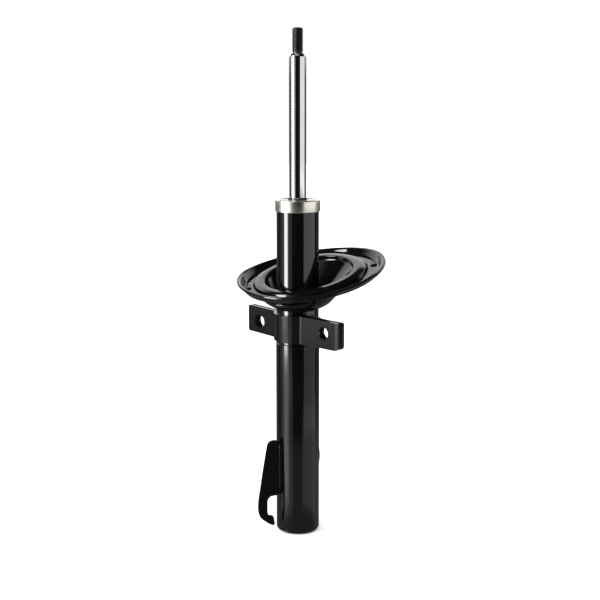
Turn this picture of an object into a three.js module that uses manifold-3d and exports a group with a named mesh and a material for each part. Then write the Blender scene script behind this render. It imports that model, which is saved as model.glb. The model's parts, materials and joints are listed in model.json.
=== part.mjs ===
// Front suspension strut: a twin-tube damper with its tilted spring seat, link bracket and locating plate.
// Millimetres, +Z up along the damper, origin at the centre of the flat base of the tube.
// +X points to the folded end of the link bracket and +Y to the high side of the spring seat.
import * as THREE from 'three';
import { mergeVertices } from 'three/addons/utils/BufferGeometryUtils.js';
import Module from 'manifold-3d';

const wasm = await Module();
wasm.setup();

const GAP = 0.3;              // clearance left between neighbouring solids
const ROUND = 36;             // sides of a large turned piece
const SMALL_ROUND = 22;       // sides of a small turned piece

// Damper tube
const TUBE_R = 27.5;          // upper tube
const LOWER_TUBE_R = 28.5;    // from the base to just under the bracket
const TUBE_WALL = 2;
const TUBE_BORE_R = TUBE_R - TUBE_WALL;
const LOWER_BORE_R = LOWER_TUBE_R - TUBE_WALL;
const STEP_Z = 256;           // the tube narrows here, below the bracket
const TUBE_START_Z = 4;
const TUBE_TOP_Z = 431;
const TUBE_LIP_R = 20;        // mouth left by the rolled-over top
const PIP_Z = 101;            // two pressed pips stop the tube in the knuckle's clamp
const PIP_RISE = 1.1;
const PIP_DEPTH = 1.5;        // half thickness of the rounded body that forms a pip
const PIP_HALF_WIDTH = 5;
const PIP_HALF_HEIGHT = 11;
const PIP_TURNS = [43, 223].map(THREE.MathUtils.degToRad);

// Base
const BASE_R = 28.4;
const BASE_FLAT_R = 21.5;
const BASE_FLOOR = 5;
const BASE_PLUG_R = LOWER_BORE_R - GAP;
const BASE_PLUG_TOP_Z = 14;

// Head pieces, from the guide up to the wiper
const GUIDE_BOTTOM_Z = 399;
const GUIDE_TOP_Z = 422;
const GUIDE_R = 25.2;
const GUIDE_BORE_R = 13;
const O_RING_GROOVE_Z = 409;
const O_RING_GROOVE_HEIGHT = 3;
const O_RING_GROOVE_R = 23.2;
const SEAL_BOTTOM_Z = 422.4;
const SEAL_BODY_TOP_Z = 428.6;
const SEAL_LIP_TOP_Z = 429.4;
const SEAL_R = 25;
const WIPER_TOP_Z = 443.2;
const WIPER_LIP_R = 12.4;

// Cap over the top of the tube
const CAP_R = 29.2;
const CAP_BOTTOM_Z = 427;
const CAP_TOP_Z = 442.5;
const CAP_PLATE = 2;
const CAP_FACE_Z = CAP_TOP_Z - 1;   // the plate lies below the cap's raised rim
const CAP_HOLE_R = 12.8;

// Piston rod
const ROD_R = 11;
const ROD_SEAL_R = 11.25;
const STUD_R = 7;
const SHOULDER_Z = 626;
const STUD_TOP_Z = 658;
const SPIGOT_R = 6;
const SPIGOT_TOP_Z = 313;
const SPIGOT_BOTTOM_Z = 263;
const STOP_GROOVE_Z = 370;    // groove that holds the rebound stop
const STOP_GROOVE_HEIGHT = 3;
const STOP_TOP_Z = 377;
const BUMPER_TOP_Z = 393;

// Piston and its valves, from the nut up to the check valve
const NUT_BOTTOM_Z = 265.5;
const NUT_TOP_Z = 276.3;
const VALVE_SPRING_TOP_Z = 286;
const SPRING_SEAT_TOP_Z = 289;
const PISTON_BOTTOM_Z = 292;
const PISTON_TOP_Z = 306;
const PISTON_R = 15;
const CHECK_STOP_Z = 309.8;

// Working cylinder
const INNER_R = 17.5;
const INNER_BORE_R = 16;
const INNER_BOTTOM_Z = 24;
const INNER_TOP_Z = 402;

// Base valve
const VALVE_BODY_Z = 16;      // face that the bending discs lie against
const VALVE_BODY_TOP_Z = INNER_BOTTOM_Z + 5;
const VALVE_BORE_R = 3.3;
const INTAKE_STOP_TOP_Z = 36;

// Spring seat: rings lie in planes that cross the tube's axis at one height
const SEAT_AXIS_Z = 337.5;
const SEAT_HUB_R = TUBE_R + 0.4;
const SEAT_SIDES = 44;
const SEAT_WARP = [-0.7, 3.1];   // height of the rim's twist: twice-round cosine and sine

// Link bracket: one folded strip
const STRIP_T = 3.5;
const STRIP_R = TUBE_R + GAP + STRIP_T / 2;
const BRACKET_BOTTOM_Z = 259;
const BRACKET_TOP_Z = 294.5;
const BEND = 4;               // length taken from each side of a corner by its bend
const LINK_HOLE_R = 8.2;
const LINK_HOLE = [63, 278.5];
const HOSE_HOLE = [-63.5, 275];
const HOSE_SLOT_STRETCH = 4.6;   // the front sheet's hole is drawn out sideways
const HOSE_END_X = -87;
const LINK_END_X = 92;
const REAR_TOP_Z = 286;         // the strip is lower where it passes behind the tube
const REAR_START_Y = 2;
const HOSE_EAR_TURN = THREE.MathUtils.degToRad(8.6);

// Locating plate
const PLATE_T = 4;
const PLATE_AZIMUTH = THREE.MathUtils.degToRad(254);
const PLATE_INNER = LOWER_TUBE_R + 0.5;

const material = (color, roughness, metalness) =>
  new THREE.MeshStandardMaterial({ color, roughness, metalness });

const glossBlack = () => material('#0b0b0c', 0.22, 0.1);
const satinBlack = () => material('#1b1b1a', 0.45, 0.1);
const chrome = () => material('#c9ccd0', 0.06, 1);
const zinc = () => material('#b9b7ae', 0.3, 1);
const steel = () => material('#8b8d90', 0.35, 1);
const springSteel = () => material('#5a5c60', 0.3, 1);
const sintered = () => material('#565554', 0.65, 0.8);
const rubber = () => material('#101011', 0.7, 0);
const bronze = () => material('#8a6a3c', 0.45, 0.9);
const slidingBand = () => material('#3f3a36', 0.5, 0);

const group = new THREE.Group();

function addPart(name, geometry, finish) {
  const mesh = new THREE.Mesh(geometry, finish);
  mesh.name = name;
  group.add(mesh);
  return mesh;
}

// A turned solid from [radius, z] points. Open profiles start and end on the axis.
function turned(points, sides = ROUND) {
  const profile = points.map(([r, z]) => new THREE.Vector2(r, z));
  const geometry = new THREE.LatheGeometry(profile, sides);
  return geometry.rotateX(Math.PI / 2);
}

// A turned solid whose profile closes on itself, given anticlockwise with the axis on its left.
function turnedRing(points, sides = ROUND) {
  return turned([...points, points[0]], sides);
}

function plainRing(innerR, outerR, bottomZ, topZ, sides = ROUND) {
  return turnedRing([[innerR, bottomZ], [outerR, bottomZ], [outerR, topZ], [innerR, topZ]], sides);
}

function torus(radius, wireR, z, sides = ROUND) {
  const geometry = new THREE.TorusGeometry(radius, wireR, 6, sides);
  return geometry.translate(0, 0, z);
}

function toSolid(geometry) {
  const bare = geometry.index ? geometry.toNonIndexed() : geometry.clone();
  bare.deleteAttribute('normal');
  bare.deleteAttribute('uv');
  const merged = mergeVertices(bare, 1e-4);
  const mesh = new wasm.Mesh({
    numProp: 3,
    vertProperties: new Float32Array(merged.attributes.position.array),
    triVerts: new Uint32Array(merged.index.array),
  });
  mesh.merge();
  return new wasm.Manifold(mesh);
}

function fromSolid(solid) {
  const mesh = solid.getMesh();
  const geometry = new THREE.BufferGeometry();
  geometry.setAttribute('position', new THREE.BufferAttribute(mesh.vertProperties.slice(), 3));
  geometry.setIndex(new THREE.BufferAttribute(mesh.triVerts.slice(), 1));
  geometry.computeVertexNormals();
  return geometry;
}

function cut(geometry, cutters) {
  const solid = cutters.reduce((rest, cutter) => rest.subtract(toSolid(cutter)), toSolid(geometry));
  return fromSolid(solid);
}

function addDamperTube() {
  const tube = turnedRing([
    [LOWER_BORE_R, TUBE_START_Z],
    [LOWER_TUBE_R, TUBE_START_Z],
    [LOWER_TUBE_R, STEP_Z - 5],
    [TUBE_R, STEP_Z],
    [TUBE_R, TUBE_TOP_Z - 4],
    [TUBE_R - 1.2, TUBE_TOP_Z - 1.2],
    [TUBE_R - 4, TUBE_TOP_Z],
    [TUBE_LIP_R, TUBE_TOP_Z],
    [TUBE_LIP_R, TUBE_TOP_Z - TUBE_WALL],
    [TUBE_BORE_R, TUBE_TOP_Z - TUBE_WALL],
    [TUBE_BORE_R, STEP_Z],
    [LOWER_BORE_R, STEP_Z - 5],
  ]);
  const pips = PIP_TURNS.map((turn) => {
    const pip = new THREE.SphereGeometry(1, 24, 12).scale(PIP_DEPTH, PIP_HALF_WIDTH, PIP_HALF_HEIGHT);
    return toSolid(pip.translate(LOWER_TUBE_R + PIP_RISE - PIP_DEPTH, 0, PIP_Z).rotateZ(turn));
  });
  const pressed = pips.reduce((solid, pip) => solid.add(pip), toSolid(tube));
  addPart('outer_tube', fromSolid(pressed), satinBlack());

  const flangeTop = TUBE_START_Z - GAP;
  const base = turned([
    [0, 0],
    [BASE_FLAT_R, 0],
    [BASE_R - 3, 0.8],
    [BASE_R - 1, 1.9],
    [BASE_R, flangeTop],
    [BASE_PLUG_R, flangeTop],
    [BASE_PLUG_R, BASE_PLUG_TOP_Z],
    [BASE_PLUG_R - 2.2, BASE_PLUG_TOP_Z],
    [BASE_PLUG_R - 2.6, BASE_FLOOR + 3],
    [BASE_PLUG_R - 5.4, BASE_FLOOR],
    [0, BASE_FLOOR],
  ]);
  addPart('base_cap', base, satinBlack());

  const skirtBore = TUBE_R + GAP;
  const plateBottom = CAP_FACE_Z - CAP_PLATE;
  const cap = turnedRing([
    [skirtBore, CAP_BOTTOM_Z],
    [CAP_R - 0.8, CAP_BOTTOM_Z],
    [CAP_R, CAP_BOTTOM_Z + 0.8],
    [CAP_R, CAP_TOP_Z - 1.6],
    [CAP_R - 1.4, CAP_TOP_Z],
    [CAP_R - 5, CAP_TOP_Z],
    [CAP_R - 7, CAP_FACE_Z],
    [CAP_HOLE_R, CAP_FACE_Z],
    [CAP_HOLE_R, plateBottom],
    [CAP_R - 7.5, plateBottom],
    [skirtBore, plateBottom - 0.6],
  ]);
  addPart('bump_cap', cap, zinc());
}

function addHeadPieces() {
  const guideSides = SMALL_ROUND + 6;
  const grooveTop = O_RING_GROOVE_Z + O_RING_GROOVE_HEIGHT;
  const neckR = INNER_BORE_R - GAP;
  const guide = turnedRing([
    [GUIDE_BORE_R, GUIDE_BOTTOM_Z],
    [neckR, GUIDE_BOTTOM_Z],
    [neckR, INNER_TOP_Z + GAP],
    [GUIDE_R, INNER_TOP_Z + GAP + 3],
    [GUIDE_R, O_RING_GROOVE_Z],
    [O_RING_GROOVE_R, O_RING_GROOVE_Z],
    [O_RING_GROOVE_R, grooveTop],
    [GUIDE_R, grooveTop],
    [GUIDE_R, GUIDE_TOP_Z],
    [GUIDE_BORE_R, GUIDE_TOP_Z],
  ], guideSides);
  addPart('rod_guide', guide, sintered());
  const bushR = GUIDE_BORE_R - GAP;
  const bush = plainRing(ROD_SEAL_R - 0.1, bushR, GUIDE_BOTTOM_Z + 2, GUIDE_TOP_Z - 2, SMALL_ROUND);
  addPart('guide_bush', bush, bronze());
  const cordR = 0.95;
  const cordZ = O_RING_GROOVE_Z + O_RING_GROOVE_HEIGHT / 2;
  addPart('guide_o_ring', torus(O_RING_GROOVE_R + cordR + 0.2, cordR, cordZ, guideSides), rubber());
  const seal = turnedRing([
    [ROD_SEAL_R, SEAL_BOTTOM_Z + 0.6],
    [WIPER_LIP_R, SEAL_BOTTOM_Z + 0.2],
    [14, SEAL_BOTTOM_Z],
    [SEAL_R, SEAL_BOTTOM_Z],
    [SEAL_R, SEAL_BODY_TOP_Z],
    [15.4, SEAL_BODY_TOP_Z],
    [14.6, SEAL_BOTTOM_Z + 3],
    [WIPER_LIP_R, SEAL_BOTTOM_Z + 3],
    [WIPER_LIP_R - 0.2, SEAL_LIP_TOP_Z],
    [ROD_SEAL_R + 0.1, SEAL_LIP_TOP_Z],
  ], SMALL_ROUND);
  addPart('oil_seal', seal, rubber());
  addPart('garter_spring', torus(13.3, 0.7, SEAL_LIP_TOP_Z - 2.2, SMALL_ROUND), springSteel());
  const wiperBottom = TUBE_TOP_Z + GAP;
  const wiper = turnedRing([
    [ROD_SEAL_R, wiperBottom],
    [18.5, wiperBottom],
    [17, wiperBottom + 6],
    [WIPER_LIP_R, wiperBottom + 6.6],
    [WIPER_LIP_R, WIPER_TOP_Z - 0.6],
    [ROD_SEAL_R, WIPER_TOP_Z],
  ], SMALL_ROUND);
  addPart('wiper_seal', wiper, rubber());
}

function slots(count, width, reach, bottomZ, topZ) {
  const boxes = [];
  for (let i = 0; i < count; i++) {
    const box = new THREE.BoxGeometry(reach, width, topZ - bottomZ);
    box.translate(0, 0, (topZ + bottomZ) / 2);
    boxes.push(box.rotateZ((i * Math.PI) / count));
  }
  return boxes;
}

function ports(count, circleR, holeR, bottomZ, topZ) {
  const holes = [];
  for (let i = 0; i < count; i++) {
    const hole = new THREE.CylinderGeometry(holeR, holeR, topZ - bottomZ, 8);
    hole.rotateX(Math.PI / 2).translate(circleR, 0, (topZ + bottomZ) / 2);
    holes.push(hole.rotateZ((i * 2 * Math.PI) / count));
  }
  return holes;
}

// A hexagon nut whose flange faces up and seats the valve spring.
function flangedNut(boreR, bottomZ, topZ) {
  const flangeBottom = topZ - 2.2;
  const flange = plainRing(boreR, 12, flangeBottom, topZ, SMALL_ROUND);
  const hexagon = new THREE.CylinderGeometry(9.8, 9.8, flangeBottom - bottomZ + 0.5, 6);
  hexagon.rotateX(Math.PI / 2).translate(0, 0, (flangeBottom + 0.5 + bottomZ) / 2);
  const bore = new THREE.CylinderGeometry(boreR, boreR, topZ - bottomZ + 4, SMALL_ROUND);
  bore.rotateX(Math.PI / 2).translate(0, 0, (topZ + bottomZ) / 2);
  return fromSolid(toSolid(flange).add(toSolid(hexagon)).subtract(toSolid(bore)));
}

// A thin sprung washer with fingers between its inner and outer rims.
function starSpring(holeR, outerR, bottomZ, topZ) {
  const outline = new THREE.Shape();
  const fingers = 3;
  const steps = 36;
  for (let i = 0; i < steps; i++) {
    const angle = (i * 2 * Math.PI) / steps;
    const reach = (1 + Math.cos(fingers * angle)) / 2;
    const radius = holeR + 2 + (outerR - holeR - 2) * reach;
    const x = radius * Math.cos(angle);
    const y = radius * Math.sin(angle);
    if (i === 0) outline.moveTo(x, y);
    else outline.lineTo(x, y);
  }
  const hole = new THREE.Path();
  hole.absarc(0, 0, holeR, 0, 2 * Math.PI, true);
  outline.holes.push(hole);
  const depth = topZ - bottomZ;
  const geometry = new THREE.ExtrudeGeometry(outline, { depth, bevelEnabled: false, curveSegments: 10 });
  return geometry.translate(0, 0, bottomZ);
}

function addInnerTubeAndBaseValve() {
  addPart('inner_tube', plainRing(INNER_BORE_R, INNER_R, INNER_BOTTOM_Z + GAP, INNER_TOP_Z), steel());
  const bodyTop = VALVE_BODY_TOP_Z;
  const body = turnedRing([
    [VALVE_BORE_R, VALVE_BODY_Z],
    [13.2, VALVE_BODY_Z],
    [13.2, BASE_FLOOR + GAP],
    [INNER_R, BASE_FLOOR + GAP],
    [INNER_R, INNER_BOTTOM_Z],
    [INNER_BORE_R - GAP, INNER_BOTTOM_Z],
    [INNER_BORE_R - GAP, bodyTop],
    [VALVE_BORE_R, bodyTop],
  ], SMALL_ROUND + 2);
  const feet = slots(2, 9, 2 * INNER_R + 4, 0, BASE_FLOOR + 5);
  const passages = ports(6, 8, 1.6, VALVE_BODY_Z - 2, bodyTop + 1);
  addPart('base_valve_body', cut(body, [...feet, ...passages]), sintered());
  const discsBottom = VALVE_BODY_Z - 2.4;
  const discs = plainRing(VALVE_BORE_R, 10.5, discsBottom, VALVE_BODY_Z - GAP, SMALL_ROUND);
  addPart('base_valve_discs', discs, springSteel());
  const rivetR = VALVE_BORE_R - GAP;
  const rivetHeadTop = discsBottom - GAP;
  const rivetRim = INTAKE_STOP_TOP_Z + 0.4;
  const rivet = turned([
    [0, rivetHeadTop - 2.3],
    [2 * rivetR, rivetHeadTop - 2.3],
    [2 * rivetR, rivetHeadTop],
    [rivetR, rivetHeadTop],
    [rivetR, rivetRim],
    [5.2, rivetRim],
    [5.2, rivetRim + 1.6],
    [0, rivetRim + 1.6],
  ], SMALL_ROUND);
  addPart('base_valve_rivet', rivet, steel());
  const loose = VALVE_BORE_R + GAP;
  addPart('intake_disc', plainRing(loose, 12.6, bodyTop + 0.1, bodyTop + 0.9, SMALL_ROUND), springSteel());
  addPart('intake_spring', starSpring(loose, 11.6, bodyTop + 2.6, bodyTop + 3.1), springSteel());
  const stop = plainRing(VALVE_BORE_R, 9.5, bodyTop + 4, INTAKE_STOP_TOP_Z, SMALL_ROUND);
  addPart('intake_stop', stop, steel());
}

function addPistonRod() {
  const grooveTop = STOP_GROOVE_Z + STOP_GROOVE_HEIGHT;
  const rod = turned([
    [0, SPIGOT_BOTTOM_Z],
    [SPIGOT_R - 1, SPIGOT_BOTTOM_Z],
    [SPIGOT_R, SPIGOT_BOTTOM_Z + 1],
    [SPIGOT_R, SPIGOT_TOP_Z],
    [ROD_R - 0.5, SPIGOT_TOP_Z],
    [ROD_R, SPIGOT_TOP_Z + 0.5],
    [ROD_R, STOP_GROOVE_Z],
    [ROD_R - 1, STOP_GROOVE_Z],
    [ROD_R - 1, grooveTop],
    [ROD_R, grooveTop],
    [ROD_R, SHOULDER_Z - 4],
    [ROD_R - 0.6, SHOULDER_Z - 1.8],
    [ROD_R - 2.6, SHOULDER_Z],
    [STUD_R, SHOULDER_Z],
    [STUD_R - 1, SHOULDER_Z + 0.4],
    [STUD_R - 1, SHOULDER_Z + 2],
    [STUD_R, SHOULDER_Z + 3],
    [STUD_R, STUD_TOP_Z - 2],
    [STUD_R - 1.8, STUD_TOP_Z],
    [0, STUD_TOP_Z],
  ], 32);
  addPart('piston_rod', rod, chrome());
  const stop = plainRing(ROD_R + 0.2, 14.6, grooveTop + 0.2, STOP_TOP_Z, SMALL_ROUND);
  addPart('rebound_stop_ring', stop, steel());
  const bumperBottom = STOP_TOP_Z + GAP;
  const bumper = turnedRing([
    [ROD_R + GAP, bumperBottom],
    [14.4, bumperBottom],
    [15, bumperBottom + 3.7],
    [14.2, bumperBottom + 7.7],
    [15, bumperBottom + 11.7],
    [14.4, BUMPER_TOP_Z],
    [ROD_R + GAP, BUMPER_TOP_Z],
  ], SMALL_ROUND);
  addPart('rebound_bumper', bumper, rubber());
}

function coilSpring(radius, wireR, bottomZ, topZ, turns) {
  const points = [];
  const steps = turns * 12;
  for (let i = 0; i <= steps; i++) {
    const angle = (i * 2 * Math.PI * turns) / steps;
    const z = THREE.MathUtils.lerp(bottomZ + wireR, topZ - wireR, i / steps);
    points.push(new THREE.Vector3(radius * Math.cos(angle), radius * Math.sin(angle), z));
  }
  const wire = new THREE.Shape();
  wire.absarc(0, 0, wireR, 0, 2 * Math.PI, false);
  const extrudePath = new THREE.CatmullRomCurve3(points);
  return new THREE.ExtrudeGeometry(wire, { steps, curveSegments: 4, bevelEnabled: false, extrudePath });
}

function addPiston() {
  const bore = SPIGOT_R + 0.2;
  const waistR = PISTON_R - 1;
  const land = 2;
  const body = turnedRing([
    [bore, PISTON_BOTTOM_Z],
    [PISTON_R, PISTON_BOTTOM_Z],
    [PISTON_R, PISTON_BOTTOM_Z + land],
    [waistR, PISTON_BOTTOM_Z + land],
    [waistR, PISTON_TOP_Z - land],
    [PISTON_R, PISTON_TOP_Z - land],
    [PISTON_R, PISTON_TOP_Z],
    [bore, PISTON_TOP_Z],
  ], SMALL_ROUND + 6);
  const passages = ports(8, 10.6, 1.5, PISTON_BOTTOM_Z - 1, PISTON_TOP_Z + 1);
  addPart('piston', cut(body, passages), sintered());
  const bandBottom = PISTON_BOTTOM_Z + land + 0.4;
  const bandTop = PISTON_TOP_Z - land - 0.4;
  addPart('piston_band', plainRing(waistR + 0.4, INNER_BORE_R - GAP, bandBottom, bandTop), slidingBand());
  const discs = plainRing(bore, 12.6, SPRING_SEAT_TOP_Z + 0.2, PISTON_BOTTOM_Z - 0.2, SMALL_ROUND);
  addPart('rebound_discs', discs, springSteel());
  const seat = turnedRing([
    [bore, VALVE_SPRING_TOP_Z + 0.4],
    [12, VALVE_SPRING_TOP_Z + 0.4],
    [12, SPRING_SEAT_TOP_Z - 1],
    [9.4, SPRING_SEAT_TOP_Z],
    [bore, SPRING_SEAT_TOP_Z],
  ], SMALL_ROUND);
  addPart('valve_spring_seat', seat, steel());
  const spring = coilSpring(9.2, 1.1, NUT_TOP_Z + GAP, VALVE_SPRING_TOP_Z, 3);
  addPart('rebound_valve_spring', spring, springSteel());
  addPart('piston_nut', flangedNut(bore, NUT_BOTTOM_Z, NUT_TOP_Z), steel());
  const loose = bore + 0.2;
  const checkTop = PISTON_TOP_Z + 0.8;
  addPart('check_disc', plainRing(loose, 13.2, PISTON_TOP_Z + 0.1, checkTop, SMALL_ROUND), springSteel());
  addPart('check_spring', starSpring(loose, 12.4, checkTop + 1.6, checkTop + 2.1), springSteel());
  addPart('check_stop', plainRing(bore, 13.6, CHECK_STOP_Z, SPIGOT_TOP_Z - 0.2, SMALL_ROUND), steel());
}

// One ring of the spring seat. Its centre lies off the tube's axis along the high side.
function seatRing(radius, offset, lift, tiltDegrees, warp = 0) {
  const tilt = THREE.MathUtils.degToRad(tiltDegrees);
  return {
    radius,
    tilt,
    warp,
    y: offset * Math.cos(tilt) - lift * Math.sin(tilt),
    z: SEAT_AXIS_Z + offset * Math.sin(tilt) + lift * Math.cos(tilt),
  };
}

function placedRing(radius, y, z, tiltDegrees = 0) {
  return { radius, tilt: THREE.MathUtils.degToRad(tiltDegrees), warp: 0, y, z };
}

// A closed sheet through rings: out along its upper face and back along its lower face.
function ringLoft(rings, sides) {
  const positions = [];
  const index = [];
  for (const ring of rings) {
    for (let i = 0; i < sides; i++) {
      const angle = (i * 2 * Math.PI) / sides;
      const along = ring.radius * Math.sin(angle);
      const twist = SEAT_WARP[0] * Math.cos(2 * angle) + SEAT_WARP[1] * Math.sin(2 * angle);
      const lift = ring.warp * twist;
      const y = ring.y + along * Math.cos(ring.tilt) - lift * Math.sin(ring.tilt);
      const z = ring.z + along * Math.sin(ring.tilt) + lift * Math.cos(ring.tilt);
      positions.push(ring.radius * Math.cos(angle), y, z);
    }
  }
  for (let j = 0; j < rings.length; j++) {
    const next = (j + 1) % rings.length;
    for (let i = 0; i < sides; i++) {
      const a = j * sides + i;
      const b = j * sides + ((i + 1) % sides);
      const c = next * sides + i;
      const d = next * sides + ((i + 1) % sides);
      index.push(a, c, b, b, c, d);
    }
  }
  const geometry = new THREE.BufferGeometry();
  geometry.setAttribute('position', new THREE.Float32BufferAttribute(positions, 3));
  geometry.setIndex(index);
  geometry.computeVertexNormals();
  return geometry;
}

// Each ring is its radius, the offset of its centre, its height off the seat's plane and its tilt.
function addSpringSeat() {
  const hubTop = 306.5;
  const upper = [
    placedRing(SEAT_HUB_R, 0, hubTop),
    placedRing(33, 0, hubTop + 1.1),
    placedRing(40.5, 0, hubTop + 5.5),
    placedRing(47.5, 9, hubTop + 16.5, 7),
    seatRing(57.4, 22.3, -4, 15.4),
    seatRing(59.6, 22.5, -0.4, 15.4),
    seatRing(62, 22.6, 1, 15.2),
    seatRing(70.5, 23.5, 0.4, 14.6),
    seatRing(74.4, 24, -1.8, 14.2),
    seatRing(77.2, 24.6, -3.9, 13.8),
    seatRing(80.5, 25.2, -4.4, 13.6),
    seatRing(88.2, 26.4, -4.4, 13.6),
    seatRing(91.2, 26.8, -1.6, 13.2),
    seatRing(93.4, 27, 1.6, 12.8, 0.5),
    seatRing(95.6, 27.1, 3.3, 12.37, 1),
    seatRing(97.66, 27.1, 3.36, 12.37, 1),
    seatRing(98.9, 27.1, 2.2, 12.37, 1),
  ];
  const hubBottom = 301.5;
  const lower = [
    seatRing(98.66, 27.1, -0.14, 12.37, 1),
    seatRing(96.4, 27.1, 0, 12.37, 1),
    seatRing(94.4, 27, -1.6, 12.8, 0.6),
    seatRing(91.8, 26.8, -4.7, 13.2),
    seatRing(88.8, 26.4, -6.8, 13.6),
    seatRing(79.4, 25.2, -7.2, 13.8),
    seatRing(74, 24, -6, 14.1),
    seatRing(71.6, 23.6, -3.6, 14.5),
    seatRing(68.8, 23.3, -2.6, 14.7),
    seatRing(64, 22.8, -2.6, 15),
    seatRing(61.2, 22.4, -5, 15.3),
    placedRing(50.8, 9, hubBottom + 19.1, 7),
    placedRing(43.6, 0, hubBottom + 8.3),
    placedRing(36, 0, hubBottom + 2.9),
    placedRing(31, 0, hubBottom + 0.5),
    placedRing(SEAT_HUB_R, 0, hubBottom),
  ];
  addPart('spring_seat', ringLoft([...upper, ...lower], SEAT_SIDES), glossBlack());
}

// Widens a line into a strip: out along its left side and back along its right side.
function stripOutline(points, thickness) {
  const left = [];
  const right = [];
  const half = thickness / 2;
  points.forEach((point, i) => {
    const before = points[Math.max(i - 1, 0)];
    const after = points[Math.min(i + 1, points.length - 1)];
    const along = after.clone().sub(before).normalize();
    const toPoint = i > 0 ? point.clone().sub(before).normalize() : along;
    const spread = half / Math.max(along.dot(toPoint), 0.5);
    const across = new THREE.Vector2(-along.y, along.x).multiplyScalar(spread);
    left.push(point.clone().add(across));
    right.unshift(point.clone().sub(across));
  });
  return new THREE.Shape([...left, ...right]);
}

const onCircle = (angle, radius = STRIP_R) =>
  new THREE.Vector2(radius * Math.cos(angle), radius * Math.sin(angle));

function bracketLine() {
  const hoseFront = new THREE.Vector2(-34, -10.8);
  const outward = new THREE.Vector2(-Math.cos(HOSE_EAR_TURN), Math.sin(HOSE_EAR_TURN));
  const hoseBack = new THREE.Vector2(-33, -4.4);
  const linkFrontY = -19.25;
  const linkBackY = -10.75;
  const linkEndX = 82;
  const noseReach = 8.2;
  const middleY = (linkFrontY + linkBackY) / 2;
  const step = BEND / STRIP_R;
  const hoseFrontAngle = THREE.MathUtils.degToRad(203.6);
  const linkFrontAngle = 2 * Math.PI - Math.asin(-linkFrontY / STRIP_R);
  const linkBackAngle = -Math.asin(-linkBackY / STRIP_R);
  const hoseBackAngle = THREE.MathUtils.degToRad(189.8);
  const hoseLength = 55;

  const line = new THREE.Path();
  const start = hoseFront.clone().addScaledVector(outward, hoseLength);
  const corner1 = onCircle(hoseFrontAngle);
  const corner2 = onCircle(linkFrontAngle);
  const corner3 = onCircle(linkBackAngle);
  const corner4 = onCircle(hoseBackAngle);
  const afterCorner1 = onCircle(hoseFrontAngle + step);
  const afterCorner3 = onCircle(linkBackAngle + step);
  const beforeCorner1 = corner1.clone().addScaledVector(outward, BEND);
  const afterCorner4 = corner4.clone().addScaledVector(outward, BEND);
  const end = hoseBack.clone().addScaledVector(outward, hoseLength);
  line.moveTo(start.x, start.y);
  line.lineTo(beforeCorner1.x, beforeCorner1.y);
  line.quadraticCurveTo(corner1.x, corner1.y, afterCorner1.x, afterCorner1.y);
  line.absarc(0, 0, STRIP_R, hoseFrontAngle + step, linkFrontAngle - step, false);
  line.quadraticCurveTo(corner2.x, corner2.y, corner2.x + BEND, linkFrontY);
  line.lineTo(linkEndX, linkFrontY);
  line.absellipse(linkEndX, middleY, noseReach, linkBackY - middleY, -Math.PI / 2, Math.PI / 2, false, 0);
  line.lineTo(corner3.x + BEND, linkBackY);
  line.quadraticCurveTo(corner3.x, corner3.y, afterCorner3.x, afterCorner3.y);
  line.absarc(0, 0, STRIP_R, linkBackAngle + step, hoseBackAngle - step, false);
  line.quadraticCurveTo(corner4.x, corner4.y, afterCorner4.x, afterCorner4.y);
  line.lineTo(end.x, end.y);
  return line.getPoints(7);
}

// The strip's outline seen from the front, with the ears' corners rounded.
function earProfile() {
  const left = HOSE_END_X;
  const right = LINK_END_X;
  const small = 3;
  const middle = 7;
  const large = 11;
  const profile = new THREE.Shape();
  profile.moveTo(left + small, BRACKET_BOTTOM_Z);
  profile.lineTo(right - large, BRACKET_BOTTOM_Z);
  profile.absarc(right - large, BRACKET_BOTTOM_Z + large, large, -Math.PI / 2, 0, false);
  profile.absarc(right - middle, BRACKET_TOP_Z - middle, middle, 0, Math.PI / 2, false);
  profile.lineTo(left + small, BRACKET_TOP_Z);
  profile.absarc(left + small, BRACKET_TOP_Z - small, small, Math.PI / 2, Math.PI, false);
  profile.absarc(left + small, BRACKET_BOTTOM_Z + small, small, Math.PI, 1.5 * Math.PI, false);
  const depth = 90;
  const block = new THREE.ExtrudeGeometry(profile, { depth, bevelEnabled: false, curveSegments: 5 });
  return block.rotateX(Math.PI / 2).translate(0, depth / 2, 0);
}

// A cutter for a bolt hole, drawn out sideways into a slot when it has a stretch.
function boltHole([x, z], y, reach, turn, stretch = 0) {
  const ends = [-stretch / 2, stretch / 2].map((shift) => {
    const end = new THREE.CylinderGeometry(LINK_HOLE_R, LINK_HOLE_R, reach, SMALL_ROUND);
    return toSolid(end.translate(shift, 0, 0).rotateZ(turn).translate(x, y, z));
  });
  return wasm.Manifold.hull(ends);
}

function addLinkBracket() {
  const outline = stripOutline(bracketLine(), STRIP_T);
  const depth = BRACKET_TOP_Z - BRACKET_BOTTOM_Z;
  const strip = new THREE.ExtrudeGeometry(outline, { depth, bevelEnabled: false });
  strip.translate(0, 0, BRACKET_BOTTOM_Z);
  const rearSize = 2 * (STRIP_R + STRIP_T);
  const rear = new THREE.BoxGeometry(rearSize, rearSize, 20);
  rear.translate(0, REAR_START_Y + rearSize / 2, REAR_TOP_Z + 10);
  const rounded = toSolid(strip).intersect(toSolid(earProfile())).subtract(toSolid(rear));
  const betweenSheetsY = -3;
  const reach = 24;
  const holes = [
    boltHole(LINK_HOLE, -15, reach, 0),
    boltHole(HOSE_HOLE, betweenSheetsY, reach, -HOSE_EAR_TURN),
    boltHole(HOSE_HOLE, betweenSheetsY - reach / 2, reach, -HOSE_EAR_TURN, HOSE_SLOT_STRETCH),
  ];
  const drilled = holes.reduce((rest, hole) => rest.subtract(hole), rounded);
  addPart('link_bracket', fromSolid(drilled), satinBlack());
}

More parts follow.
